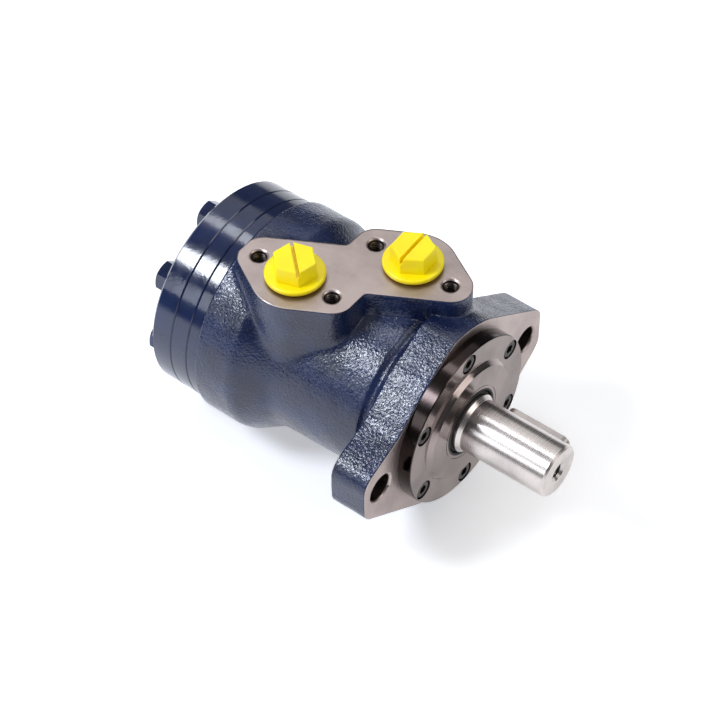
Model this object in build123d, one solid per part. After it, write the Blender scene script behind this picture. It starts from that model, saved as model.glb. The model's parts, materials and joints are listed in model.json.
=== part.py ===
from build123d import *
import os
from math import acos, asin, atan2, cos, degrees, pi, radians, sin, tan

# Orbital hydraulic motor of the spool-valve, roller-gear kind, in millimetres.
# The origin is the centre of the mounting flange's front face. +X runs out along the shaft,
# +Y along the flange's long axis, and +Z is the way the port face looks.

# ---- mounting flange, square to the shaft ----
FLANGE_T = 18.0          # thickness of the two ears
BOLT_SPACING = 106.4     # between the two mounting holes
BOLT_HOLE_R = 6.75
EAR_END = 64.5           # half length over the ears
EAR_CORNER_Y = 61.0      # where an ear's end turns into its slanting side
EAR_CORNER_Z = 13.5
HUB_R = 46.2             # round middle of the flange
EAR_FILLET = 9.0
RELIEF_END_Y = -1.7      # the side between -Y and +Z is cut lower, as these (y, z) points say
RELIEF_BULGE = (-22.0, 35.2)
RELIEF_KNEE = (-41.0, 20.8)

# ---- front cover, whose rim is the pilot ----
PILOT_R = 41.25
COVER_T = 6.6            # how far the pilot stands out of the flange
BOSS_X = 8.8             # front of the bevelled boss round the seal
BOSS_BASE_R = 29.7
BOSS_TOP_R = 27.9
SPIGOT_R = 29.0          # part of the cover inside the housing
SPIGOT_L = 7.0
SEAL_R = 21.0
WIPER_R = 16.6
WIPER_X = 4.0            # floor of the dust seal's seat
LINE_R = 17.9            # fine turned line on the boss
SEAL_FLOOR_X = 1.5
WEB_R = 15.0
SCREW_CIRCLE_R = 36.0
SCREW_R = 2.5            # M5 cap screws
SCREW_HEAD_R = 4.25
SCREW_HEAD_H = 5.0
SCREW_BORE_R = 4.75
SCREW_SEAT_X = 1.2
SCREW_END_X = -13.0
SCREWS = 6

# ---- shaft ----
SHAFT_R = 12.5
SHAFT_END_X = 54.9
LAND_R = 14.1            # ground land under the seals
LAND_END_X = 10.3
KEY_W, KEY_H, KEY_L = 8.0, 7.0, 32.0
KEY_X0 = 18.5
KEY_FLOOR_R = 8.5
END_HOLE_R = 3.4         # M8 in the shaft's end
END_HOLE_L = 20.0
SPOOL_R = 19.0
SPOOL_X0, SPOOL_X1 = -12.1, -100.0
SPOOL_BORE_R = 13.5
SPLINE_X0, SPLINE_X1 = -46.0, -60.0
BORE_FLOOR_X = -42.0
SPOOL_SLOTS = 12
RUN_GAP = 0.04           # radial play of the spool in the housing

# ---- housing ----
BARREL_FRONT_R = 41.8
BARREL_REAR_R = 42.5
REAR_R = 52.2
HOUSING_END_X = -104.8
CONE_X0, CONE_X1 = -69.0, -84.5
CONE_ARC = 4.0           # length of the arc either side of each end of the cone
NECK_X, NECK_L, NECK_D = -18.0, 5.0, 1.3
REAR_CHAMFER = 0.9
GROOVE_R = 22.0
GROOVE_HALF = 4.0
WINDOW_X = -55.0
CHANNEL_CIRCLE_R = 27.0
CHANNEL_R = 2.75
CHAMBER_END_X = -13.5

# ---- thrust bearing between the cover and the spool ----
THRUST_X = -SPIGOT_L
NEEDLES = 24
NEEDLE_R = 1.5

# ---- port pad on top ----
PORT_FACE_Z = 54.5
PAD_X = -55.0            # middle of the pad
PORT_DX = 18.0           # each port is this far from the middle, along X and along Y
PAD_HOLE_DX = 20.0       # pad screws, this far either side of a port
PORT_PAD_R = 19.5
PAD_HOLE_PAD_R = 9.7
PAD_HOLE_R = 3.4
PAD_HOLE_L = 14.0
PAD_HOLE_SINK = 0.9
PAD_REAR_X = -101.8
PAD_FULLER = 2.0         # extra metal on the rear port's inner side
NOTCH_FILLET = 3.0
PAD_FOOT_Z = 8.0         # how far down the pad's walls run inside the barrel
PORT_R = 9.5
PORT_L = 16.5
PORT_CORE_R = 5.0

# ---- gear set: seven rollers in a ring, six-lobed rotor ----
SPACER_T = 6.0
GEAR_T = 9.0
END_COVER_T = 11.4
RING_R = 50.3
ROLLERS = 7
ROLLER_CIRCLE_R = 31.0
ROLLER_R = 6.0
ECCENTRICITY = 3.2
ROTOR_PLAY = 0.08
POCKET_PLAY = 0.05
RING_BORE_R = 32.0
FACE_PLAY = 0.03
SPACER_HOLE_R = 16.0
PLATE_EDGE = 0.5         # chamfer round each plate
END_COVER_EDGE = 1.2
FIRST_BOLT = 90.0        # angle of the first end-cover bolt, from +Y towards +Z

# ---- end-cover bolts, M8 ----
BOLT_CIRCLE_R = 38.0
BOLT_R = 4.0
BOLT_CLEAR_R = 4.3
BOLT_AF = 13.0
BOLT_HEAD_H = 6.3
BOLT_GRIP = 15.0         # length of thread in the housing
HEX_PHASE = 48.0
WASHER_T = 1.6
WASHER_R = 7.9

# ---- O-rings between the rear plates ----
ORING_R0, ORING_R1, ORING_DEPTH = 44.2, 46.6, 1.4

# ---- cardan shaft ----
TEETH = 12
TOOTH_W, MALE_TOOTH_W = 2.4, 2.1
FEMALE_R0, FEMALE_R1 = 9.6, 12.0
MALE_R0, MALE_R1 = 8.9, 11.4
CARDAN_SHANK_R = 7.5
CARDAN_FRONT_X = -53.0
CARDAN_FRONT_HALF, CARDAN_REAR_HALF = 6.0, 4.0
CARDAN_SPACER_T = 1.2

# ---- transit plugs in the ports ----
PLUG_FLANGE_R = 13.4
PLUG_FLANGE_T = 2.4
PLUG_GAP = 1.1           # between the port face and the underside of the flange
PLUG_TOP_Z = 66.1
PLUG_HEX_R = 10.3
PLUG_HEX_TAPER = 3.0     # degrees on each side
PLUG_SLOT_W = 1.6
PLUG_SLOT_D = 3.0
PLUG_SHANK_R = 9.4
PLUG_SHANK_L = 10.0
PLUG_WALL = 1.8
REAR_SLOT_ANGLE, FRONT_SLOT_ANGLE = 137.0, 93.0

# ---- drain port underneath ----
DRAIN_X = -29.0
DRAIN_FACE_Z = -45.0
DRAIN_BOSS_R = 10.5
DRAIN_R = 5.8
DRAIN_L = 11.0
DRAIN_HEAD_R = 9.0
DRAIN_HEAD_H = 4.5
DRAIN_WASHER_T = 1.5

# ---- worked out from the above ----
PITCH = 360 / ROLLERS
FIRST_ROLLER = FIRST_BOLT + PITCH / 2
SPACER_X = HOUSING_END_X - SPACER_T
GEAR_X = SPACER_X - GEAR_T
END_X = GEAR_X - END_COVER_T
CARDAN_REAR_X = GEAR_X + CARDAN_SPACER_T + CARDAN_REAR_HALF + 0.7
ROTOR_Y = ECCENTRICITY * cos(radians(FIRST_ROLLER))
ROTOR_Z = ECCENTRICITY * sin(radians(FIRST_ROLLER))
BOLT_ANGLES = [FIRST_BOLT + PITCH * k for k in range(ROLLERS)]
ROLLER_ANGLES = [FIRST_ROLLER + PITCH * k for k in range(ROLLERS)]
SCREW_ANGLES = [30 + 360 / SCREWS * k for k in range(SCREWS)]
PORTS = {"rear": (PAD_X - PORT_DX, -PORT_DX), "front": (PAD_X + PORT_DX, PORT_DX)}
BOTTOM = (Align.CENTER, Align.CENTER, Align.MIN)
OUTWARD = (Align.CENTER, Align.MIN, Align.CENTER)


# ---------------------------------------------------------------- helpers
def rod(x0, x1, radius):
    """A cylinder along X from x0 to x1."""
    return Pos(min(x0, x1), 0, 0) * Rot(0, 90, 0) * Cylinder(radius, abs(x1 - x0), align=BOTTOM)


def ring(x0, x1, inner, outer):
    """A flat ring about X from x0 to x1."""
    return rod(x0, x1, outer) - rod(x0 - 1, x1 + 1, inner) if x0 < x1 else ring(x1, x0, inner, outer)


def turned(*points):
    """A body turned about X from a closed outline of (x, radius) points."""
    return revolve(make_face(Polyline(*points, close=True)), Axis.X, 360)


def at_angle(shape, angle, radius=0.0):
    """Moves a shape out along Y by radius, then turns it about X."""
    return Rot(angle, 0, 0) * Pos(0, radius, 0) * shape


def around(shape, angles, radius=0.0):
    """Copies of a shape at several angles about X."""
    return [at_angle(shape, angle, radius) for angle in angles]


def facing_x(sketch, x):
    """Stands a sketch drawn in (y, z) square to the shaft at x, ready to extrude along +X."""
    return Plane(origin=(x, 0, 0), x_dir=(0, 1, 0), z_dir=(1, 0, 0)) * sketch


def hex_prism(across_flats, length):
    """A hexagonal prism standing on the XY plane, one corner towards +X."""
    corner_r = across_flats / 2 / cos(radians(30))
    return extrude(RegularPolygon(corner_r, 6), length)


def export(name, *shapes):
    """Writes one node, as one solid or as a group of separate ones."""
    node = shapes[0] if len(shapes) == 1 else Compound(children=[s.solid() for s in shapes])
    node.label = name
    export_step(node, f"parts/{name}.step")


# ---------------------------------------------------------------- housing
def barrel_body():
    """The cast barrel: a neck behind the flange, a cone that starts and ends in arcs, a wide rear end."""
    slope = (REAR_R - BARREL_REAR_R) / (CONE_X0 - CONE_X1)
    bend = CONE_ARC * cos(atan2(slope, 1))
    foot = [(CONE_X0 + CONE_ARC, BARREL_REAR_R), (CONE_X0 - bend, BARREL_REAR_R + bend * slope)]
    foot_middle = (CONE_X0 - bend / 6, BARREL_REAR_R + bend * slope * 0.27)
    brow = [(CONE_X1 + bend, REAR_R - bend * slope), (CONE_X1 - CONE_ARC, REAR_R)]
    brow_middle = (CONE_X1 + bend / 6, REAR_R - bend * slope * 0.27)
    neck_end = NECK_X - NECK_L
    outline = make_face([
        Polyline((NECK_X, BARREL_FRONT_R), (-1, BARREL_FRONT_R), (-1, 0), (HOUSING_END_X, 0)),
        Polyline((HOUSING_END_X, 0), (HOUSING_END_X, REAR_R - REAR_CHAMFER),
                 (HOUSING_END_X + REAR_CHAMFER, REAR_R), brow[1]),
        ThreePointArc(brow[1], brow_middle, brow[0]),
        Line(brow[0], foot[1]),
        ThreePointArc(foot[1], foot_middle, foot[0]),
        Line(foot[0], (neck_end, BARREL_FRONT_R)),
        ThreePointArc((neck_end, BARREL_FRONT_R), (NECK_X - NECK_L / 2, BARREL_FRONT_R - NECK_D),
                      (NECK_X, BARREL_FRONT_R)),
    ])
    return revolve(outline, Axis.X, 360)


def flange_outline():
    """Round hub with two ears; the side between -Y and +Z is cut lower than the others."""
    reach = (EAR_CORNER_Y**2 + EAR_CORNER_Z**2) ** 0.5
    touch_angle = atan2(EAR_CORNER_Z, EAR_CORNER_Y) + acos(HUB_R / reach)
    touch = (HUB_R * cos(touch_angle), HUB_R * sin(touch_angle))
    slope = (touch[1] - EAR_CORNER_Z) / (EAR_CORNER_Y - touch[0])
    end = (EAR_END, EAR_CORNER_Z - (EAR_END - EAR_CORNER_Y) * slope)
    top = (RELIEF_END_Y, (HUB_R**2 - RELIEF_END_Y**2) ** 0.5)
    outline = make_face([
        Polyline((end[0], -end[1]), end, touch),
        ThreePointArc(touch, (HUB_R * sin(radians(15)), HUB_R * cos(radians(15))), top),
        ThreePointArc(top, RELIEF_BULGE, RELIEF_KNEE),
        Polyline(RELIEF_KNEE, (-end[0], end[1]), (-end[0], -end[1]), (-touch[0], -touch[1])),
        ThreePointArc((-touch[0], -touch[1]), (0, -HUB_R), (touch[0], -touch[1])),
        Polyline((touch[0], -touch[1]), (end[0], -end[1])),
    ])
    ear_corners = [v for v in outline.vertices() if abs(abs(v.X) - EAR_END) < 0.01]
    return fillet(ear_corners, EAR_FILLET)


def pad_outline():
    """Two port bosses, each with a screw boss either side, joined nearly point-symmetrically."""
    small, big = PAD_HOLE_PAD_R, PORT_PAD_R
    lean = asin((big - small) / PAD_HOLE_DX)
    slope = pi / 2 - lean
    right, left = PORT_DX + PAD_HOLE_DX, PORT_DX - PAD_HOLE_DX
    wall = small - left
    end_radius = {1: small, -1: small + PAD_FULLER}
    notch = {}
    for sign, radius in end_radius.items():
        inner_y = PORT_DX - radius * cos(lean) - (right + radius * sin(lean) - wall) * tan(lean)
        notch[sign] = (PAD_X + sign * wall, sign * inner_y)
    edges = []
    for sign, radius in end_radius.items():
        def on_circle(x, r, angle):
            return PAD_X + sign * (x + r * cos(angle)), sign * (PORT_DX + r * sin(angle))
        start = on_circle(right, radius, -slope)
        edges += [
            Line(notch[sign], start),
            ThreePointArc(start, on_circle(right, small, 0), on_circle(right, small, slope)),
            Line(on_circle(right, small, slope), on_circle(PORT_DX, big, slope)),
            ThreePointArc(on_circle(PORT_DX, big, slope), on_circle(PORT_DX, big, pi / 2),
                          on_circle(PORT_DX, big, pi - slope)),
            Line(on_circle(PORT_DX, big, pi - slope), on_circle(left, small, pi - slope)),
            ThreePointArc(on_circle(left, small, pi - slope), on_circle(left, small, pi - slope / 2),
                          on_circle(left, small, pi)),
            Line(on_circle(left, small, pi), notch[-sign]),
        ]
    outline = make_face(edges)
    corners = [
        v for v in outline.vertices()
        if min(abs(v.X - x) + abs(v.Y - y) for x, y in notch.values()) < 0.01
    ]
    return fillet(corners, NOTCH_FILLET)


def port_cuts():
    """Port threads, the passages to the bore and the pad's screw holes."""
    cuts = []
    for x, y in PORTS.values():
        cuts.append(Pos(x, y, PORT_FACE_Z - PORT_L) * Cylinder(PORT_R, PORT_L + 1, align=BOTTOM))
        cuts.append(Pos(x, y, PORT_FACE_Z - 1.2) * Cone(PORT_R, PORT_R + 1.3, 1.3, align=BOTTOM))
        angle = degrees(atan2(PORT_FACE_Z - PORT_L, y))
        passage = Rot(-90, 0, 0) * Cylinder(PORT_CORE_R, 24, align=BOTTOM)
        cuts.append(Pos(x, 0, 0) * at_angle(passage, angle, SPOOL_R))
        countersink = Cone(PAD_HOLE_R, PAD_HOLE_R + PAD_HOLE_SINK, PAD_HOLE_SINK, align=BOTTOM)
        for side in (-1, 1):
            place = Pos(x + side * PAD_HOLE_DX, y, PORT_FACE_Z)
            cuts.append(place * Pos(0, 0, -PAD_HOLE_L) * Cylinder(PAD_HOLE_R, PAD_HOLE_L + 1, align=BOTTOM))
            cuts.append(place * Pos(0, 0, 0.1 - PAD_HOLE_SINK) * countersink)
    return cuts


def bore_cuts():
    """Spool bore, bearing chamber, annular grooves, windows and channels to the gear set."""
    bore = turned(
        (1, 0), (1, SPIGOT_R + 0.04), (CHAMBER_END_X, SPIGOT_R + 0.04),
        (CHAMBER_END_X, SPOOL_R + RUN_GAP), (HOUSING_END_X - 1, SPOOL_R + RUN_GAP), (HOUSING_END_X - 1, 0),
    )
    cuts = [bore]
    for x, _ in PORTS.values():
        cuts.append(ring(x - GROOVE_HALF, x + GROOVE_HALF, SPOOL_R - 1, GROOVE_R))
    cuts.append(ring(DRAIN_X - 1.7, DRAIN_X + 1.7, SPOOL_R - 1, GROOVE_R - 1))
    cuts += around(rod(WINDOW_X - 2.5, HOUSING_END_X - 1, CHANNEL_R), BOLT_ANGLES, CHANNEL_CIRCLE_R)
    window = Pos(WINDOW_X, 0, 0) * Rot(-90, 0, 0) * Box(5, 4, CHANNEL_CIRCLE_R - SPOOL_R + 1, align=BOTTOM)
    cuts += around(window, BOLT_ANGLES, SPOOL_R - 1)
    return cuts


def housing():
    flange = extrude(facing_x(flange_outline(), -FLANGE_T), FLANGE_T, dir=(1, 0, 0))
    pad = Pos(0, 0, PAD_FOOT_Z) * extrude(pad_outline(), PORT_FACE_Z - PAD_FOOT_Z, dir=(0, 0, 1))
    drain_boss = Pos(DRAIN_X, 0, DRAIN_FACE_Z) * Cylinder(DRAIN_BOSS_R, 12, align=BOTTOM)
    pad -= Pos(PAD_REAR_X - 10, 0, 0) * Box(20, 120, 200)
    body = barrel_body() + flange + pad + drain_boss
    cuts = bore_cuts() + port_cuts()
    mount_hole = rod(-FLANGE_T - 1, 1, BOLT_HOLE_R)
    mount_hole += rod(-0.7, 1, BOLT_HOLE_R + 0.7)
    cuts += around(mount_hole, (0, 180), BOLT_SPACING / 2)
    cuts += around(rod(SCREW_END_X - 2, 1, SCREW_R), SCREW_ANGLES, SCREW_CIRCLE_R)
    end_bolt_hole = rod(HOUSING_END_X - 1, HOUSING_END_X + BOLT_GRIP + 2, BOLT_R)
    cuts += around(end_bolt_hole, BOLT_ANGLES, BOLT_CIRCLE_R)
    cuts.append(ring(HOUSING_END_X - 1, HOUSING_END_X + ORING_DEPTH, ORING_R0, ORING_R1))
    cuts.append(Pos(DRAIN_X, 0, DRAIN_FACE_Z - 1) * Cylinder(DRAIN_R, DRAIN_L + 1, align=BOTTOM))
    cuts.append(Pos(DRAIN_X, 0, DRAIN_FACE_Z) * Cylinder(2, -DRAIN_FACE_Z - SPOOL_R + 1, align=BOTTOM))
    for cut in cuts:
        body -= cut
    return body


# ---------------------------------------------------------------- front cover and seals
def front_cover():
    rim = 0.4
    cover = turned(
        (-SPIGOT_L, SEAL_R), (SEAL_FLOOR_X, SEAL_R), (SEAL_FLOOR_X, WEB_R), (WIPER_X, WEB_R),
        (WIPER_X, WIPER_R), (BOSS_X, WIPER_R), (BOSS_X, LINE_R), (BOSS_X - 0.3, LINE_R),
        (BOSS_X - 0.3, LINE_R + 0.35), (BOSS_X, LINE_R + 0.35), (BOSS_X, BOSS_TOP_R), (COVER_T, BOSS_BASE_R),
        (COVER_T, PILOT_R - rim), (COVER_T - rim, PILOT_R), (0, PILOT_R), (0, SPIGOT_R),
        (-1.8, SPIGOT_R), (-1.8, SPIGOT_R - 1.8), (-4.2, SPIGOT_R - 1.8), (-4.2, SPIGOT_R),
        (-SPIGOT_L, SPIGOT_R),
    )
    seat = rod(SCREW_SEAT_X, COVER_T + 1, SCREW_BORE_R) + rod(-1, COVER_T, SCREW_R + 0.25)
    for cut in around(seat, SCREW_ANGLES, SCREW_CIRCLE_R):
        cover -= cut
    return cover


def cap_screw():
    """An M5 socket-head screw along X, its axis on the shaft's."""
    head = rod(SCREW_SEAT_X, SCREW_SEAT_X + SCREW_HEAD_H, SCREW_HEAD_R)
    head = chamfer(head.edges().sort_by(Axis.X)[-1:], 0.4)
    socket = Pos(SCREW_SEAT_X + SCREW_HEAD_H - 2.6, 0, 0) * Rot(0, 90, 0) * hex_prism(4.0, 4)
    return head + rod(SCREW_END_X, SCREW_SEAT_X, SCREW_R) - socket


def dust_seal():
    """Stiff outer ring with a soft lip that leans out towards the shaft."""
    return turned(
        (WIPER_X, WIPER_R), (BOSS_X + 0.1, WIPER_R), (BOSS_X + 0.1, WIPER_R - 0.7),
        (BOSS_X - 0.4, WIPER_R - 1.0), (BOSS_X - 1.6, WIPER_R - 1.3), (BOSS_X - 0.3, LAND_R + 0.06),
        (BOSS_X - 0.9, LAND_R + 0.06), (WIPER_X + 1.4, 15.0), (WIPER_X, 15.2),
    )


def shaft_seal():
    """Pressure seal behind the cover's web, its lip pointing inwards."""
    x0 = -SPIGOT_L + 1
    return turned(
        (x0, SEAL_R), (SEAL_FLOOR_X, SEAL_R), (SEAL_FLOOR_X, 15.4), (SEAL_FLOOR_X - 1.4, 15.0),
        (x0 + 2.6, LAND_R + 0.05), (x0 + 1.8, LAND_R + 0.05), (x0 + 1, 15.6), (x0 + 3.4, 16.6),
        (x0 + 4.4, 18.6), (x0, 18.8),
    )


def packing(x0, x1, r0, r1):
    """An O-ring squeezed into its groove, with rounded edges."""
    width, height = abs(x1 - x0), r1 - r0
    section = RectangleRounded(width, height, min(width, height) * 0.4)
    return revolve(Pos((x0 + x1) / 2, (r0 + r1) / 2) * section, Axis.X, 360)


def plate_packing(x):
    """The O-ring of one rear plate, in the groove that starts at x."""
    return packing(x + 0.02, x + ORING_DEPTH - 0.02, ORING_R0 + 0.1, ORING_R1 - 0.1)


# ---------------------------------------------------------------- shaft
def female_teeth(x0, x1, phase=0.0):
    """The teeth of an internal spline, standing inwards."""
    tooth = Pos((x0 + x1) / 2, 0, 0) * Box(
        abs(x1 - x0), FEMALE_R1 - FEMALE_R0 + 0.6, TOOTH_W, align=OUTWARD
    )
    return around(tooth, [phase + 360 / TEETH * k for k in range(TEETH)], FEMALE_R0)


def output_shaft():
    """Shaft and spool in one piece: bearing land, key seat, oil grooves and inner spline."""
    body = turned(
        (SPOOL_X1, 0), (SPOOL_X1, SPOOL_R - 0.6), (SPOOL_X1 + 0.6, SPOOL_R), (SPOOL_X0 - 0.6, SPOOL_R),
        (SPOOL_X0, SPOOL_R - 0.6), (SPOOL_X0, LAND_R), (LAND_END_X, LAND_R), (LAND_END_X + 1.7, SHAFT_R),
        (SHAFT_END_X - 1, SHAFT_R), (SHAFT_END_X, SHAFT_R - 1), (SHAFT_END_X, 0),
    )
    body -= turned(
        (SPOOL_X1 - 1, 0), (SPOOL_X1 - 1, SPOOL_BORE_R), (SPLINE_X1, SPOOL_BORE_R), (SPLINE_X1, FEMALE_R1),
        (BORE_FLOOR_X, FEMALE_R1), (BORE_FLOOR_X + 3, 0),
    )
    for tooth in female_teeth(SPLINE_X0, SPLINE_X1):
        body += tooth
    for x, _ in PORTS.values():
        body -= ring(x - GROOVE_HALF, x + GROOVE_HALF, SPOOL_R - 2.2, SPOOL_R + 1)
    for k in range(SPOOL_SLOTS):
        port_x = PORTS["rear" if k % 2 else "front"][0]
        reach = WINDOW_X + (3 if k % 2 else -3)
        slot = Pos((port_x + reach) / 2, 0, 0) * Box(
            abs(port_x - reach), 3, 3.4, align=OUTWARD
        )
        body -= at_angle(slot, 360 / SPOOL_SLOTS * k, SPOOL_R - 2.2)
    body -= key_blank(KEY_H + 2)
    body -= rod(SHAFT_END_X - END_HOLE_L, SHAFT_END_X + 1, END_HOLE_R)
    countersink = Cone(END_HOLE_R, END_HOLE_R + 1.4, 1.4, align=BOTTOM)
    body -= Pos(SHAFT_END_X - 1.3, 0, 0) * Rot(0, 90, 0) * countersink
    return body


def key_blank(height):
    """A parallel key with round ends, its flat sides square to Z, standing out along Y."""
    section = SlotOverall(KEY_L, KEY_W)
    plane = Plane(origin=(KEY_X0 + KEY_L / 2, KEY_FLOOR_R, 0), x_dir=(1, 0, 0), z_dir=(0, 1, 0))
    return extrude(plane * section, height)


def shaft_key():
    key = key_blank(KEY_H)
    return chamfer(key.edges().group_by(Axis.Y)[-1], 0.35)


# ---------------------------------------------------------------- thrust bearing
def thrust_cage():
    """Flat cage with a pocket for every needle."""
    cage = ring(THRUST_X - 3.85, THRUST_X - 1.25, 15.2, 25.0)
    pocket = Box(4, 7.4, 2 * NEEDLE_R + 0.1, align=OUTWARD)
    pocket = Pos(THRUST_X - 2.55, 0, 0) * pocket
    for cut in around(pocket, [360 / NEEDLES * k for k in range(NEEDLES)], 16.3):
        cage -= cut
    return cage


def thrust_needles():
    needle = Pos(THRUST_X - 2.55, 0, 0) * Rot(-90, 0, 0) * Cylinder(NEEDLE_R, 7.2, align=BOTTOM)
    return around(needle, [360 / NEEDLES * k for k in range(NEEDLES)], 16.4)


# ---------------------------------------------------------------- gear set
def roller():
    return rod(GEAR_X + FACE_PLAY, SPACER_X - FACE_PLAY, ROLLER_R)


def rotor_outline(points_per_lobe=24):
    """Inner parallel curve of the path that the roller centres take round the rotor."""
    lobes = ROLLERS - 1
    outline = []
    for k in range(lobes * points_per_lobe):
        u = 2 * pi * k / (lobes * points_per_lobe)
        centre = ROLLER_CIRCLE_R * complex(cos(u), sin(u)) - ECCENTRICITY * complex(
            cos(ROLLERS * u), sin(ROLLERS * u))
        along = 1j * ROLLER_CIRCLE_R * complex(cos(u), sin(u)) - 1j * ROLLERS * ECCENTRICITY * complex(
            cos(ROLLERS * u), sin(ROLLERS * u))
        point = centre + 1j * (ROLLER_R + ROTOR_PLAY) * along / abs(along)
        outline.append((point.real, point.imag))
    return make_face(Spline(*outline, periodic=True))


def rotor():
    """Six-lobed star, meshing with the rollers, on its own eccentric centre."""
    blank = extrude(facing_x(rotor_outline(), GEAR_X + FACE_PLAY), GEAR_T - 2 * FACE_PLAY, dir=(1, 0, 0))
    blank -= rod(GEAR_X - 1, SPACER_X + 1, FEMALE_R1)
    for tooth in female_teeth(GEAR_X + FACE_PLAY, SPACER_X - FACE_PLAY, -FIRST_ROLLER):
        blank += tooth
    return Pos(0, ROTOR_Y, ROTOR_Z) * Rot(FIRST_ROLLER, 0, 0) * blank


def drilled_plate(x0, x1, inner_r, rear_edge=PLATE_EDGE):
    """A round plate between x0 and x1 with chamfered edges and the seven bolt holes."""
    plate = rod(x0, x1, RING_R)
    rims = plate.edges().filter_by(GeomType.CIRCLE).sort_by(Axis.X)
    plate = chamfer(rims[-1], PLATE_EDGE)
    plate = chamfer(plate.edges().filter_by(GeomType.CIRCLE).sort_by(Axis.X)[0], rear_edge)
    if inner_r:
        plate -= rod(x0 - 1, x1 + 1, inner_r)
    for hole in around(rod(x0 - 1, x1 + 1, BOLT_CLEAR_R), BOLT_ANGLES, BOLT_CIRCLE_R):
        plate -= hole
    return plate


def spacer_plate():
    plate = drilled_plate(SPACER_X, HOUSING_END_X, SPACER_HOLE_R)
    for hole in around(rod(SPACER_X - 1, HOUSING_END_X + 1, CHANNEL_R), BOLT_ANGLES, CHANNEL_CIRCLE_R):
        plate -= hole
    return plate - ring(SPACER_X - 1, SPACER_X + ORING_DEPTH, ORING_R0, ORING_R1)


def gear_ring():
    plate = drilled_plate(GEAR_X, SPACER_X, RING_BORE_R)
    pocket = rod(GEAR_X - 1, SPACER_X + 1, ROLLER_R + POCKET_PLAY)
    for cut in around(pocket, ROLLER_ANGLES, ROLLER_CIRCLE_R):
        plate -= cut
    return plate


def end_cover():
    plate = drilled_plate(END_X, GEAR_X, 0, END_COVER_EDGE)
    return plate - ring(GEAR_X - ORING_DEPTH, GEAR_X + 1, ORING_R0, ORING_R1)


# ---------------------------------------------------------------- rear bolts
def end_bolt():
    """An M8 hexagon-head bolt along X, its axis on the shaft's."""
    seat = END_X - WASHER_T
    head = Pos(seat - BOLT_HEAD_H, 0, 0) * Rot(0, 90, 0) * hex_prism(BOLT_AF, BOLT_HEAD_H)
    corner_r = BOLT_AF / 2 / cos(radians(30))
    head &= turned(
        (seat, 0), (seat, corner_r + 0.1), (seat - BOLT_HEAD_H + 0.7, corner_r + 0.1),
        (seat - BOLT_HEAD_H, BOLT_AF / 2 - 0.3), (seat - BOLT_HEAD_H, 0),
    )
    return head + rod(seat, HOUSING_END_X + BOLT_GRIP, BOLT_R)


def end_bolts():
    """Every head is turned to the same phase about its own axis."""
    bolt = end_bolt()
    return [at_angle(Rot(HEX_PHASE - angle, 0, 0) * bolt, angle, BOLT_CIRCLE_R) for angle in BOLT_ANGLES]


def bolt_washer():
    return ring(END_X - WASHER_T, END_X, BOLT_R + 0.2, WASHER_R)


# ---------------------------------------------------------------- cardan shaft
def male_spline(half):
    """Crowned external spline, centred on the origin along X, its teeth between the female ones."""
    core = rod(-half, half, MALE_R0)
    for tooth in around(Box(2 * half, 3, MALE_TOOTH_W, align=OUTWARD),
                        [360 / TEETH * (k + 0.5) for k in range(TEETH)], MALE_R1 - 3):
        core += tooth
    crown = make_face([
        ThreePointArc((-half, MALE_R1 - 0.9), (0, MALE_R1), (half, MALE_R1 - 0.9)),
        Polyline((half, MALE_R1 - 0.9), (half, 0), (-half, 0), (-half, MALE_R1 - 0.9)),
    ])
    return core & revolve(crown, Axis.X, 360)


def cardan_shaft():
    """Dog-bone shaft, leaning from the spool's axis to the rotor's centre."""
    reach = CARDAN_REAR_X - CARDAN_FRONT_X
    body = male_spline(CARDAN_FRONT_HALF) + rod(0, reach, CARDAN_SHANK_R)
    body += Pos(reach, 0, 0) * male_spline(CARDAN_REAR_HALF)
    lean = degrees(atan2(ECCENTRICITY, -reach))
    towards_rotor = Rot(FIRST_ROLLER, 0, 0) * Rot(0, 0, -lean) * Rot(-FIRST_ROLLER, 0, 0)
    return Pos(CARDAN_FRONT_X, 0, 0) * towards_rotor * body


def cardan_spacer():
    """Loose disc between the cardan shaft's end and the end cover."""
    return Pos(0, ROTOR_Y, ROTOR_Z) * rod(GEAR_X + FACE_PLAY, GEAR_X + CARDAN_SPACER_T, FEMALE_R0 - 0.4)


# ---------------------------------------------------------------- plugs
def port_plug(x, y, slot_angle):
    """Plastic transit plug: hollow shank, round flange and a slotted hexagon grip."""
    flange_z = PORT_FACE_Z + PLUG_GAP
    flange_top = flange_z + PLUG_FLANGE_T
    flange = Pos(0, 0, flange_z) * Cylinder(PLUG_FLANGE_R, PLUG_FLANGE_T, align=BOTTOM)
    flange = fillet(flange.edges().filter_by(GeomType.CIRCLE), 0.9)
    grip = extrude(RegularPolygon(PLUG_HEX_R, 6), PLUG_TOP_Z - flange_top + 0.5, taper=PLUG_HEX_TAPER)
    grip = Pos(0, 0, flange_top - 0.5) * chamfer(grip.edges().group_by(Axis.Z)[-1], 0.35)
    grip -= Pos(0, 0, PLUG_TOP_Z - PLUG_SLOT_D) * Box(3 * PLUG_HEX_R, PLUG_SLOT_W, 10, align=BOTTOM)
    shank_z = PORT_FACE_Z - PLUG_SHANK_L
    shank_l = flange_z - shank_z
    shank = Pos(0, 0, shank_z) * Cylinder(PLUG_SHANK_R, shank_l + 0.5, align=BOTTOM)
    shank -= Pos(0, 0, shank_z) * Cylinder(PLUG_SHANK_R - PLUG_WALL, shank_l, align=BOTTOM)
    return Pos(x, y, 0) * Rot(0, 0, slot_angle) * (flange + grip + shank)


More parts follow.
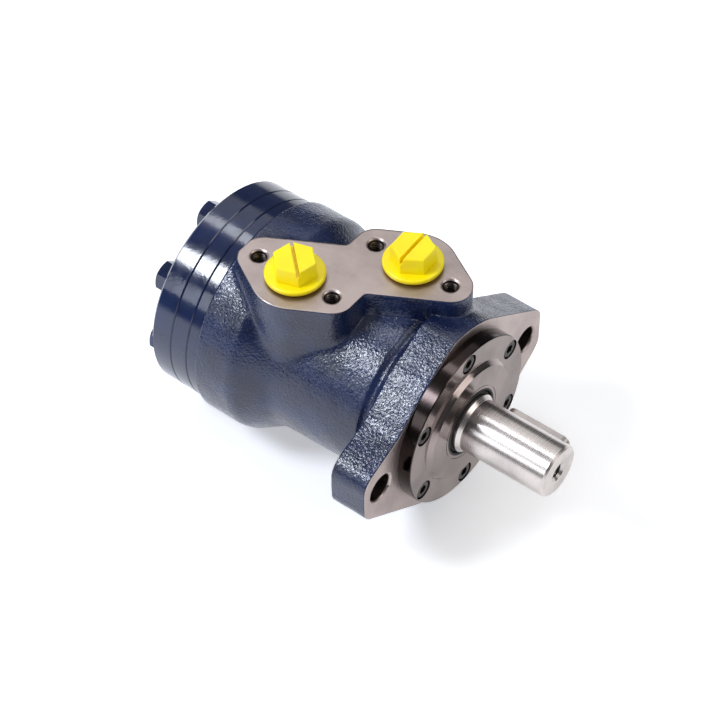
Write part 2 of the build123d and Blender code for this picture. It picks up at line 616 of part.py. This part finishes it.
def drain_plug():
    """Socket-headed plug screwed up into the drain port."""
    seat = DRAIN_FACE_Z - DRAIN_WASHER_T
    head = Pos(0, 0, seat - DRAIN_HEAD_H) * Cylinder(DRAIN_HEAD_R, DRAIN_HEAD_H, align=BOTTOM)
    head = chamfer(head.edges().group_by(Axis.Z)[0], 0.8)
    shank = Pos(0, 0, seat) * Cylinder(DRAIN_R, DRAIN_L - 1, align=BOTTOM)
    socket = Pos(0, 0, seat - DRAIN_HEAD_H - 0.5) * hex_prism(6.0, 5.5)
    return Pos(DRAIN_X, 0, 0) * (head + shank - socket)


def drain_washer():
    washer = Pos(0, 0, DRAIN_FACE_Z - DRAIN_WASHER_T) * (
        Cylinder(DRAIN_HEAD_R + 0.6, DRAIN_WASHER_T, align=BOTTOM)
        - Cylinder(DRAIN_R, 3 * DRAIN_WASHER_T, align=BOTTOM)
    )
    return Pos(DRAIN_X, 0, 0) * washer


# ---------------------------------------------------------------- write every node
os.makedirs("parts", exist_ok=True)

export("housing", housing())
export("front_cover", front_cover())
export("cover_screws", *around(cap_screw(), SCREW_ANGLES, SCREW_CIRCLE_R))
export("dust_seal", dust_seal())
export("shaft_seal", shaft_seal())
export("cover_o_ring", packing(-4.15, -1.85, SPIGOT_R - 1.78, SPIGOT_R + 0.03))
export("output_shaft", output_shaft())
export("shaft_key", shaft_key())
export("thrust_washer_front", ring(THRUST_X - 1, THRUST_X, LAND_R + 0.5, 26.0))
export("thrust_cage", thrust_cage())
export("thrust_needles", *thrust_needles())
export("thrust_washer_rear", ring(THRUST_X - 5.05, THRUST_X - 4.1, LAND_R + 0.02, 26.0))
export("cardan_shaft", cardan_shaft())
export("cardan_spacer", cardan_spacer())
export("spacer_plate", spacer_plate())
export("gear_ring", gear_ring())
for number, angle in enumerate(ROLLER_ANGLES, start=1):
    export(f"roller_{number}", at_angle(roller(), angle, ROLLER_CIRCLE_R))
export("rotor", rotor())
export("end_cover", end_cover())
export("end_cover_bolts", *end_bolts())
export("bolt_washers", *around(bolt_washer(), BOLT_ANGLES, BOLT_CIRCLE_R))
export("housing_o_ring", plate_packing(HOUSING_END_X))
export("spacer_o_ring", plate_packing(SPACER_X))
export("end_cover_o_ring", plate_packing(GEAR_X - ORING_DEPTH))
export("port_plug_rear", port_plug(*PORTS["rear"], REAR_SLOT_ANGLE))
export("port_plug_front", port_plug(*PORTS["front"], FRONT_SLOT_ANGLE))
export("drain_plug", drain_plug())
export("drain_washer", drain_washer())
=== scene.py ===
import json
from math import atan2, cos, pi, radians, sin

import bmesh
import bpy
import numpy as np
from mathutils import Matrix, Vector


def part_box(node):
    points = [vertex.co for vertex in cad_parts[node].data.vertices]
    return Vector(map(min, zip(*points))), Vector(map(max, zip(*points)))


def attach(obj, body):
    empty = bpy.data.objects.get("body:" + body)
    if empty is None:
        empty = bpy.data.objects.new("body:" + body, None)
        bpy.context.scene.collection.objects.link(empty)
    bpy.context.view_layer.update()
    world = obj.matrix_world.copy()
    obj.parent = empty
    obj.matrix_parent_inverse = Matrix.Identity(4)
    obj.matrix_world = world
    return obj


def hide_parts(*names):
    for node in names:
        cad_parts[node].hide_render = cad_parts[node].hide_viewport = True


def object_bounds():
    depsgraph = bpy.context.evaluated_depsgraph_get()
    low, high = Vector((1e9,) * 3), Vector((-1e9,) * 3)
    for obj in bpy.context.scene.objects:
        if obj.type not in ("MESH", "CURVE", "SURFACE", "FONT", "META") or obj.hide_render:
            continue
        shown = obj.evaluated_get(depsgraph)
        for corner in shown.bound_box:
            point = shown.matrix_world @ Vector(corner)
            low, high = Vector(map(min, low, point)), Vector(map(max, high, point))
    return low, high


# An orbital hydraulic motor on a pale floor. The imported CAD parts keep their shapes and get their
# materials here; the cast housing is rebuilt with rounded casting edges, and threads are added.
# Everything is in metres: +X out along the shaft, +Y along the flange, +Z up from the port face.

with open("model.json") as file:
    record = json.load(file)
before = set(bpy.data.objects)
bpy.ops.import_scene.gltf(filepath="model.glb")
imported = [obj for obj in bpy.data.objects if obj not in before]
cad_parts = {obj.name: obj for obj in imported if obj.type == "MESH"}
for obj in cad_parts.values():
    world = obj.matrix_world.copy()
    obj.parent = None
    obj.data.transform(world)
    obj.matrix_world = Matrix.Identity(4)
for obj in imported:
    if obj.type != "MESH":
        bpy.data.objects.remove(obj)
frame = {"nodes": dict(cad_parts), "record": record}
cad_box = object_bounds()

MM = 0.001
scene = bpy.context.scene
nodes = frame["nodes"]

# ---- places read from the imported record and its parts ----
mounts = {m["name"]: m for m in frame["record"]["mounts"]}
FLANGE_FACE_X = mounts["flange_face"]["pos_m"][0]
PORT_FACE_Z = mounts["port_face"]["pos_m"][2]
PORTS = [mounts[name]["pos_m"] for name in ("rear_port", "front_port")]
PAD_SCREW_MOUNTS = [mounts[name] for name in ("rear_port_screws", "front_port_screws")]
PAD_SCREWS = [
    (m["pos_m"][0] + side * m["dims"]["spacing_x_mm"] / 2 * MM, m["pos_m"][1])
    for m in PAD_SCREW_MOUNTS for side in (-1, 1)
]
PAD_SCREW_R = PAD_SCREW_MOUNTS[0]["dims"]["hole_r_mm"] * MM
FLANGE_HOLE_Y = mounts["flange_bolts"]["dims"]["spacing_x_mm"] / 2 * MM
FLANGE_HOLE_R = mounts["flange_bolts"]["dims"]["hole_r_mm"] * MM
FLANGE_DEPTH = 20 * MM
PILOT_R = mounts["pilot"]["dims"]["r_mm"] * MM
SHAFT_THREAD_R = mounts["shaft_end_thread"]["dims"]["r_mm"] * MM
HOUSING_REAR_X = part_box("housing")[0].x
SHAFT_END_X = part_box("output_shaft")[1].x
DRAIN_LOW, DRAIN_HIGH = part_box("drain_plug")
DRAIN_X = (DRAIN_LOW.x + DRAIN_HIGH.x) / 2
FLOOR_Z = cad_box[0][2]

# ---- where the housing's cast skin ends ----
SKIN_R = 39.2 * MM              # whatever lies nearer the shaft's axis is inside the motor
FACE_MARGIN = 0.25 * MM         # how far a machined face reaches down its edge
FLANGE_HOLE_MARGIN = 0.4 * MM
PORT_RIM_R = 11.5 * MM
PAD_SCREW_RIM_R = 5 * MM
DRAIN_RIM_R = 7 * MM
BORE_MARGIN = 0.2 * MM
BORE_START = 1.4 * MM           # a flange hole keeps its bare colour down to here; below it, its wall is painted dark as shade
REAR_EDGE = 1.8 * MM            # the turned rear edge stays sharp
FACE_EDGE = 1.2 * MM            # the grain fades out this far from a machined face
NECK_DEPTHS = (16 * MM, 23.5 * MM)   # the neck behind the flange, which stays open

# ---- how the casting is softened and roughened ----
REMESH_DEPTH, QUICK_DEPTH = 8, 7
FILL_ROUNDS, SOFTEN_ROUNDS = 70, 5
NORMALS_EVERY = 8               # rounds between two looks at the normals
FILL_STEP, SOFTEN_STEP = 0.9, 0.5
FLAT_ENOUGH = 0.002 * MM
CAST_WAVES = ((12 * MM, 0.05 * MM), (3 * MM, 0.008 * MM))   # wavelength, height
WAVES_EACH = 14

# ---- threads ----
THREAD_PITCH, THREAD_HEIGHT = 1.25 * MM, 0.55 * MM
THREAD_CLEARANCE = 0.02 * MM
THREAD_TIP = 0.2 * MM
PAD_THREAD_TOP, PAD_THREAD_DEPTH = 0.6 * MM, 13.2 * MM
SHAFT_THREAD_TOP, SHAFT_THREAD_DEPTH = 1.4 * MM, 17 * MM


# ---------------------------------------------------------------- camera, floor and light
def add_camera():
    """A long lens, seen from the shaft's end and above."""
    azimuth, elevation, roll = radians(37.985), radians(48.335), radians(-0.381)
    distance, focus = 1.062676, 2437.8
    shift_right, shift_up = 0.041302, -0.022907
    back = Vector((sin(azimuth) * cos(elevation), -cos(azimuth) * cos(elevation), sin(elevation)))
    right = Vector((0, 0, 1)).cross(back).normalized()
    up = back.cross(right)
    turned_right = right * cos(roll) + up * sin(roll)
    turned_up = up * cos(roll) - right * sin(roll)
    data = bpy.data.cameras.new("camera")
    data.sensor_width = 36
    data.lens = focus / 720 * data.sensor_width
    data.clip_end = 20
    camera = bpy.data.objects.new("camera", data)
    place = back * distance - turned_right * shift_right - turned_up * shift_up
    camera.matrix_world = Matrix((turned_right, turned_up, back)).transposed().to_4x4()
    camera.location = place
    scene.collection.objects.link(camera)
    scene.camera = camera


def add_floor():
    bpy.ops.mesh.primitive_plane_add(size=12, location=(0, 0, FLOOR_Z))
    floor = bpy.context.object
    floor.name = "floor"
    material = bpy.data.materials.new("floor")
    material.use_nodes = True
    shader = material.node_tree.nodes["Principled BSDF"]
    shader.inputs["Base Color"].default_value = (0.93, 0.93, 0.935, 1)
    shader.inputs["Roughness"].default_value = 0.9
    shader.inputs["Emission Color"].default_value = (0.97, 0.98, 1, 1)
    shader.inputs["Emission Strength"].default_value = 0.42
    floor.data.materials.append(material)


def add_softbox(name, azimuth, elevation, distance, size, power, colour=(1, 1, 1)):
    """An area light in a direction from the motor's middle, turned to face it."""
    middle = Vector((-0.04, 0, 0.01))
    a, e = radians(azimuth), radians(elevation)
    out = Vector((cos(a) * cos(e), sin(a) * cos(e), sin(e)))
    data = bpy.data.lights.new(name, "AREA")
    data.shape = "RECTANGLE"
    data.size, data.size_y = size
    data.energy = power
    data.color = colour
    light = bpy.data.objects.new(name, data)
    light.location = middle + out * distance
    light.rotation_euler = out.to_track_quat("Z", "Y").to_euler()
    scene.collection.objects.link(light)


def add_lights():
    world = bpy.data.worlds.new("studio")
    scene.world = world
    world.use_nodes = True
    world.node_tree.nodes["Background"].inputs["Color"].default_value = (0.93, 0.95, 1.0, 1)
    world.node_tree.nodes["Background"].inputs["Strength"].default_value = 0.12
    add_softbox("overhead", 0, 88, 1.7, (2.2, 2.2), 4)
    add_softbox("key", -132, 48, 1.3, (0.36, 0.36), 12, (0.86, 0.91, 1.0))
    add_softbox("back", 126, 50, 1.5, (1.4, 1.0), 3.6)
    add_softbox("top", 158, 66, 1.2, (0.2, 0.5), 1.9, (0.92, 0.95, 1.0))
    add_softbox("side", -114, 23, 1.4, (0.5, 0.4), 2.2, (0.9, 0.94, 1.0))
    add_softbox("front", 20, 40, 1.6, (1.0, 1.0), 8, (1.0, 0.97, 0.94))


# ---------------------------------------------------------------- materials
class Shade:
    """A small helper that builds one node material."""

    def __init__(self, name, colour, roughness, metallic=0.0, **sockets):
        self.material = bpy.data.materials.new(name)
        self.material.use_nodes = True
        self.tree = self.material.node_tree
        self.shader = self.tree.nodes["Principled BSDF"]
        self.shader.inputs["Base Color"].default_value = (*colour, 1)
        self.shader.inputs["Roughness"].default_value = roughness
        self.shader.inputs["Metallic"].default_value = metallic
        for key, value in sockets.items():
            self.shader.inputs[key.replace("_", " ")].default_value = value
        self.place = self.add("ShaderNodeTexCoord").outputs["Object"]

    def add(self, kind, values=(), **settings):
        node = self.tree.nodes.new(kind)
        for key, value in settings.items():
            setattr(node, key, value)
        for key, value in dict(values).items():
            node.inputs[key].default_value = value
        return node

    def link(self, output, socket):
        self.tree.links.new(output, socket)
        return socket

    def stretched(self, scale):
        """Object coordinates scaled along each axis."""
        node = self.add("ShaderNodeMapping", {"Scale": scale})
        self.link(self.place, node.inputs["Vector"])
        return node.outputs["Vector"]

    def noise(self, scale, detail=3.0, roughness=0.5, stretch=None, distortion=0.0):
        node = self.add("ShaderNodeTexNoise", {
            "Scale": scale, "Detail": detail, "Roughness": roughness, "Distortion": distortion})
        self.link(self.stretched(stretch) if stretch else self.place, node.inputs["Vector"])
        return node.outputs["Fac"]

    def math(self, operation, a, b=0.0):
        node = self.add("ShaderNodeMath", operation=operation)
        for socket, value in zip(node.inputs, (a, b)):
            if isinstance(value, (int, float)):
                socket.default_value = value
            else:
                self.link(value, socket)
        return node.outputs["Value"]

    def spread(self, value, low, high, out_low=0.0, out_high=1.0):
        """Maps low..high onto out_low..out_high, smoothly at the ends."""
        node = self.add("ShaderNodeMapRange", {
            "From Min": low, "From Max": high, "To Min": out_low, "To Max": out_high},
            interpolation_type="SMOOTHSTEP")
        self.link(value, node.inputs["Value"])
        return node.outputs["Result"]

    def mix(self, factor, first, second):
        node = self.add("ShaderNodeMix", data_type="RGBA")
        self.link(factor, node.inputs["Factor"])
        for socket, value in ((node.inputs[6], first), (node.inputs[7], second)):
            if isinstance(value, tuple):
                socket.default_value = (*value, 1)
            else:
                self.link(value, socket)
        return node.outputs[2]

    def colour(self, output):
        self.link(output, self.shader.inputs["Base Color"])

    def roughness(self, output):
        self.link(output, self.shader.inputs["Roughness"])

    def bump(self, height, strength, distance, after=None):
        node = self.add("ShaderNodeBump", {"Strength": strength, "Distance": distance})
        self.link(height, node.inputs["Height"])
        if after is not None:
            self.link(after, node.inputs["Normal"])
        self.link(node.outputs["Normal"], self.shader.inputs["Normal"])
        return node.outputs["Normal"]


NAVY = (0.01, 0.0215, 0.076)
NAVY_DARK = (0.005, 0.0105, 0.04)


def cast_paint():
    """Glossy navy paint that follows a coarse sand casting."""
    s = Shade("cast_paint", NAVY, 0.16, Specular_IOR_Level=0.62)
    s.colour(s.mix(s.spread(s.noise(60, 4), 0.35, 0.7), NAVY_DARK, NAVY))
    s.roughness(s.spread(s.noise(1000, 2), 0.3, 0.7, 0.1, 0.28))
    swell = s.bump(s.noise(260, 2), 0.12, 0.4 * MM)
    s.bump(s.noise(920, 2.0, 0.5, distortion=0.4), 0.8, 0.34 * MM, swell)
    return s.material


def smooth_paint():
    """The same paint over turned steel: glossy, with a faint orange peel."""
    s = Shade("smooth_paint", NAVY, 0.12, Specular_IOR_Level=0.62)
    s.colour(s.mix(s.spread(s.noise(35, 3), 0.3, 0.7), NAVY_DARK, NAVY))
    s.roughness(s.spread(s.noise(200, 2), 0.3, 0.7, 0.08, 0.16))
    peel = s.bump(s.noise(140, 2), 0.1, 0.3 * MM)
    s.bump(s.noise(900, 2), 0.2, 0.1 * MM, peel)
    return s.material


def turned_steel(name, colour, roughness, lines=2600, bump=0.1, painted_reflection_rim=None):
    """Steel turned or ground about the shaft's axis: fine lines that run round it.
    A rim, as (radius, colour), is a darker outside: a painted dark reflection in that colour beyond
    that radius."""
    s = Shade(name, colour, roughness[0], 1.0)
    split = s.add("ShaderNodeSeparateXYZ")
    s.link(s.place, split.inputs["Vector"])
    x, y, z = split.outputs
    radius = s.math("SQRT", s.math("ADD", s.math("MULTIPLY", y, y), s.math("MULTIPLY", z, z)))
    along = s.math("ADD", radius, s.math("MULTIPLY", x, 1.3))
    grooves = s.add("ShaderNodeTexNoise", {"Scale": lines, "Detail": 3.0, "Roughness": 0.65},
                    noise_dimensions="1D")
    s.link(along, grooves.inputs["W"])
    marks = grooves.outputs["Fac"]
    pale = tuple(min(1, c * 1.15) for c in colour)
    dark = tuple(c * 0.8 for c in colour)
    shade = s.mix(s.spread(s.noise(55, 4), 0.3, 0.7), dark, pale)
    # painted dark reflection: outside the rim's radius the colour turns nearly black
    if painted_reflection_rim:
        shade = s.mix(s.spread(radius, painted_reflection_rim[0] - 0.6 * MM, painted_reflection_rim[0] - 0.2 * MM), shade, painted_reflection_rim[1])
    s.colour(shade)
    s.roughness(s.spread(marks, 0.3, 0.7, *roughness))
    s.bump(marks, bump, 0.03 * MM)
    return s.material


def milled_iron(name, colour, roughness):
    """A flat milled face: faint clouds, small dark pores and short tool marks."""
    s = Shade(name, colour, roughness[0], 1.0)
    pores = s.spread(s.noise(1300, 2, 0.6), 0.68, 0.76)
    clouds = s.spread(s.noise(45, 4, 0.6), 0.3, 0.7)
    pale = tuple(min(1, c * 1.1) for c in colour)
    dark = tuple(c * 0.84 for c in colour)
    s.colour(s.mix(s.math("MULTIPLY", pores, 0.5), s.mix(clouds, dark, pale), (0.06, 0.05, 0.045)))
    marks = s.noise(700, 3, 0.6, (0.12, 1, 1))
    s.roughness(s.spread(marks, 0.3, 0.7, *roughness))
    s.bump(marks, 0.12, 0.05 * MM)
    return s.material


def thread_in_painted_shade():
    """Threads inside a hole, coloured dark as painted shade of the hole."""
    s = Shade("dark_thread", (0.07, 0.062, 0.058), 0.35, 1.0)
    s.colour(s.mix(s.spread(s.noise(500, 3), 0.35, 0.7), (0.06, 0.05, 0.046), (0.22, 0.19, 0.175)))
    s.roughness(s.spread(s.noise(900, 2), 0.3, 0.7, 0.25, 0.4))
    return s.material


def yellow_plastic():
    s = Shade("yellow_plastic", (1.0, 0.8, 0.0), 0.35, Subsurface_Weight=0.25, Subsurface_Scale=0.002)
    s.shader.inputs["Subsurface Radius"].default_value = (1.0, 0.7, 0.1)
    s.colour(s.mix(s.spread(s.noise(50, 3), 0.3, 0.7), (1.0, 0.76, 0.0), (1.0, 0.84, 0.0)))
    s.roughness(s.spread(s.noise(300, 3), 0.3, 0.7, 0.28, 0.42))
    s.bump(s.noise(250, 3), 0.1, 0.15 * MM)
    return s.material


def black_screw():
    s = Shade("black_screw", (0.06, 0.055, 0.053), 0.35, 0.9)
    s.colour(s.mix(s.spread(s.noise(700, 3), 0.4, 0.7), (0.04, 0.036, 0.035), (0.11, 0.1, 0.096)))
    s.roughness(s.spread(s.noise(500, 2), 0.3, 0.7, 0.3, 0.5))
    return s.material


def seal_rubber():
    s = Shade("seal_rubber", (0.012, 0.012, 0.013), 0.55)
    s.colour(s.mix(s.spread(s.noise(900, 3), 0.4, 0.8), (0.008, 0.008, 0.009), (0.03, 0.03, 0.031)))
    s.bump(s.noise(1200, 2), 0.2, 0.05 * MM)
    return s.material


# ---------------------------------------------------------------- housing
def vertex_array(mesh):
    co = np.empty(len(mesh.vertices) * 3)
    mesh.vertices.foreach_get("co", co)
    return co.reshape(-1, 3)


def skin_of(co):
    """True for points on the cast outer skin; faces and holes that a tool has cut are left out."""
    x, y, z = co.T
    skin = np.hypot(y, z) > SKIN_R
    skin &= (z < PORT_FACE_Z - FACE_MARGIN) & (x < FLANGE_FACE_X - FACE_MARGIN)
    in_hole = np.hypot(np.abs(y) - FLANGE_HOLE_Y, z) < FLANGE_HOLE_R + FLANGE_HOLE_MARGIN
    skin &= ~(in_hole & (x > FLANGE_FACE_X - FLANGE_DEPTH))
    for px, py, _ in PORTS:
        skin &= (np.hypot(x - px, y - py) > PORT_RIM_R) | (z < 0)
    for px, py in PAD_SCREWS:
        skin &= (np.hypot(x - px, y - py) > PAD_SCREW_RIM_R) | (z < 0)
    skin &= (np.hypot(x - DRAIN_X, y) > DRAIN_RIM_R) | (z > 0)
    return skin


def in_flange_bore(co):
    """True for points on the wall of a flange hole, below its bright mouth, where the colour is painted
    dark as shade.
    """
    x, y, z = co.T
    near = np.hypot(np.abs(y) - FLANGE_HOLE_Y, z) < FLANGE_HOLE_R + BORE_MARGIN
    return near & (x < FLANGE_FACE_X - BORE_START) & (x > FLANGE_FACE_X - FLANGE_DEPTH)


def round_casting(mesh):
    """Fills the inner corners of the casting with fillets, then softens its outer edges."""
    co = vertex_array(mesh)
    x = co[:, 0]
    movable = skin_of(co) & (x > HOUSING_REAR_X + REAR_EDGE)
    depth = FLANGE_FACE_X - x
    fillable = movable & ((depth < NECK_DEPTHS[0]) | (depth > NECK_DEPTHS[1]))
    edges = np.empty(len(mesh.edges) * 2, int)
    mesh.edges.foreach_get("vertices", edges)
    a, b = edges.reshape(-1, 2).T
    count = np.maximum(np.bincount(a, minlength=len(co)) + np.bincount(b, minlength=len(co)), 1)
    normal = np.empty(len(co) * 3)
    for turn in range(FILL_ROUNDS + SOFTEN_ROUNDS):
        total = np.stack([
            np.bincount(a, co[b, k], len(co)) + np.bincount(b, co[a, k], len(co)) for k in range(3)], 1)
        step = total / count[:, None] - co
        if turn >= FILL_ROUNDS:
            co[movable] += step[movable] * SOFTEN_STEP
            continue
        if turn % NORMALS_EVERY == 0:
            mesh.vertices.foreach_set("co", co.ravel())
            mesh.update()
            mesh.vertices.foreach_get("normal", normal)
            out = normal.reshape(-1, 3)
        rise = np.einsum("ij,ij->i", step, out)
        grow = fillable & (rise > FLAT_ENOUGH)
        co[grow] += out[grow] * rise[grow, None] * FILL_STEP
    mesh.vertices.foreach_set("co", co.ravel())
    mesh.update()


def roughen(mesh, waves):
    """Moves the cast skin in and out by sums of random waves, given as (wavelength, height)."""
    co = vertex_array(mesh)
    normal = np.empty(len(co) * 3)
    mesh.vertices.foreach_get("normal", normal)
    normal = normal.reshape(-1, 3)
    random = np.random.default_rng(7)
    height = np.zeros(len(co))
    for wavelength, size in waves:
        for _ in range(WAVES_EACH):
            way = random.normal(size=3)
            way *= 2 * pi / wavelength / np.linalg.norm(way) * random.uniform(0.75, 1.3)
            height += np.sin(co @ way + random.uniform(0, 2 * pi)) * size / 3
    skin = skin_of(co) & (co[:, 0] > HOUSING_REAR_X + REAR_EDGE)
    skin &= (co[:, 2] < PORT_FACE_Z - FACE_EDGE) & (co[:, 0] < FLANGE_FACE_X - FACE_EDGE)
    co[skin] += normal[skin] * height[skin, None]
    mesh.vertices.foreach_set("co", co.ravel())
    mesh.update()


def build_housing(paint, bare, bore):
    """The CAD housing remeshed evenly, its casting edges rounded, with paint on the cast skin only."""
    source = nodes["housing"]
    mesh = source.data.copy()
    housing = bpy.data.objects.new("housing_casting", mesh)
    scene.collection.objects.link(housing)
    remesh = housing.modifiers.new("even", "REMESH")
    remesh.mode = "SHARP"
    remesh.octree_depth = REMESH_DEPTH
    remesh.scale = 0.98
    remesh.use_remove_disconnected = False
    bpy.context.view_layer.objects.active = housing
    housing.select_set(True)
    bpy.ops.object.modifier_apply(modifier=remesh.name)
    mesh = housing.data
    round_casting(mesh)
    roughen(mesh, CAST_WAVES)
    mesh.materials.clear()
    for material in (paint, bare, bore):
        mesh.materials.append(material)
    centres = np.empty(len(mesh.polygons) * 3)
    mesh.polygons.foreach_get("center", centres)
    centres = centres.reshape(-1, 3)
    # flange hole walls below the mouth get a dark colour: painted shade inside the holes
    kind = np.where(skin_of(centres), 0, np.where(in_flange_bore(centres), 2, 1))
    mesh.polygons.foreach_set("material_index", kind)
    mesh.shade_smooth()
    mesh.update()
    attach(housing, "casing")
    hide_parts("housing")


# ---------------------------------------------------------------- threads
def add_thread(name, material, body, place, direction, radius, depth):
    """The inside of a threaded hole: a helical ridge from the wall inwards, starting at the mouth."""
    around, per_pitch = 48, 8
    rows = int(depth / THREAD_PITCH * per_pitch)
    out = Vector(direction).normalized()
    side = out.orthogonal().normalized()
    third = out.cross(side)
    mesh = bmesh.new()
    grid = []
    for row in range(rows + 1):
        along = depth * row / rows
        ring = []
        for k in range(around):
            angle = 2 * pi * k / around
            phase = (along / THREAD_PITCH + k / around) % 1.0
            ridge = 1 - abs(2 * phase - 1)
            fade = min(1, along / THREAD_PITCH)
            r = radius - THREAD_CLEARANCE - THREAD_HEIGHT * ridge * fade
            ring.append(mesh.verts.new(
                Vector(place) - out * along + side * (r * cos(angle)) + third * (r * sin(angle))))
        grid.append(ring)
    for upper, lower in zip(grid, grid[1:]):
        for k in range(around):
            n = (k + 1) % around
            mesh.faces.new((upper[k], upper[n], lower[n], lower[k]))
    tip = mesh.verts.new(Vector(place) - out * (depth - THREAD_TIP))
    for k in range(around):
        mesh.faces.new((grid[-1][k], grid[-1][(k + 1) % around], tip))
    data = bpy.data.meshes.new(name)
    bmesh.ops.recalc_face_normals(mesh, faces=mesh.faces)
    mesh.to_mesh(data)
    mesh.free()
    data.shade_smooth()
    data.materials.append(material)
    thread = bpy.data.objects.new(name, data)
    scene.collection.objects.link(thread)
    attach(thread, body)


# ---------------------------------------------------------------- make it
add_camera()
add_floor()
add_lights()
scene.view_settings.view_transform = "Standard"
scene.view_settings.look = "None"

WARM_STEEL = (0.46, 0.385, 0.365)
COVER_STEEL = (0.27, 0.225, 0.215)
# a nearly black colour painted on the cover's outside as a dark reflection
PAINTED_DARK_REFLECTION = (0.03, 0.023, 0.022)
BRIGHT_STEEL = (0.55, 0.505, 0.485)
materials = {
    "cast": cast_paint(),
    "painted_steel": smooth_paint(),
    "bare_cast": milled_iron("milled_iron", WARM_STEEL, (0.32, 0.46)),
    "machined_steel": turned_steel(
        "turned_cover", COVER_STEEL, (0.1, 0.2), 1800, 0.12, (PILOT_R, PAINTED_DARK_REFLECTION)),
    "ground_steel": turned_steel("ground_shaft", BRIGHT_STEEL, (0.19, 0.34), 3500, 0.06),
    "key_steel": milled_iron("key_steel", BRIGHT_STEEL, (0.25, 0.4)),
    "bearing_steel": turned_steel("bearing_steel", BRIGHT_STEEL, (0.1, 0.2), 3000, 0.05),
    # the threads' dark colour is painted shade inside the holes
    "threads": thread_in_painted_shade(),
    # dark iron for the flange holes' walls: painted shade
    "bore_painted_shade": milled_iron("bore_painted_shade", (0.13, 0.105, 0.098), (0.3, 0.45)),
    "black_screws": black_screw(),
    "seal_rubber": seal_rubber(),
    "yellow_plastic": yellow_plastic(),
}
materials["painted_bolts"] = materials["painted_steel"]
materials["painted_casting"] = materials["cast"]

slot_of = {s["node"]: s["material_slot"] for s in frame["record"]["subparts"]}
for name, node in nodes.items():
    node.data.materials.clear()
    node.data.materials.append(materials[slot_of[name]])

build_housing(materials["cast"], materials["bare_cast"], materials["bore_painted_shade"])

for number, (x, y) in enumerate(PAD_SCREWS, start=1):
    add_thread(f"pad_thread_{number}", materials["threads"], "casing",
               (x, y, PORT_FACE_Z - PAD_THREAD_TOP), (0, 0, 1), PAD_SCREW_R, PAD_THREAD_DEPTH)
add_thread("shaft_thread", materials["threads"], "shaft",
           (SHAFT_END_X - SHAFT_THREAD_TOP, 0, 0), (1, 0, 0), SHAFT_THREAD_R, SHAFT_THREAD_DEPTH)
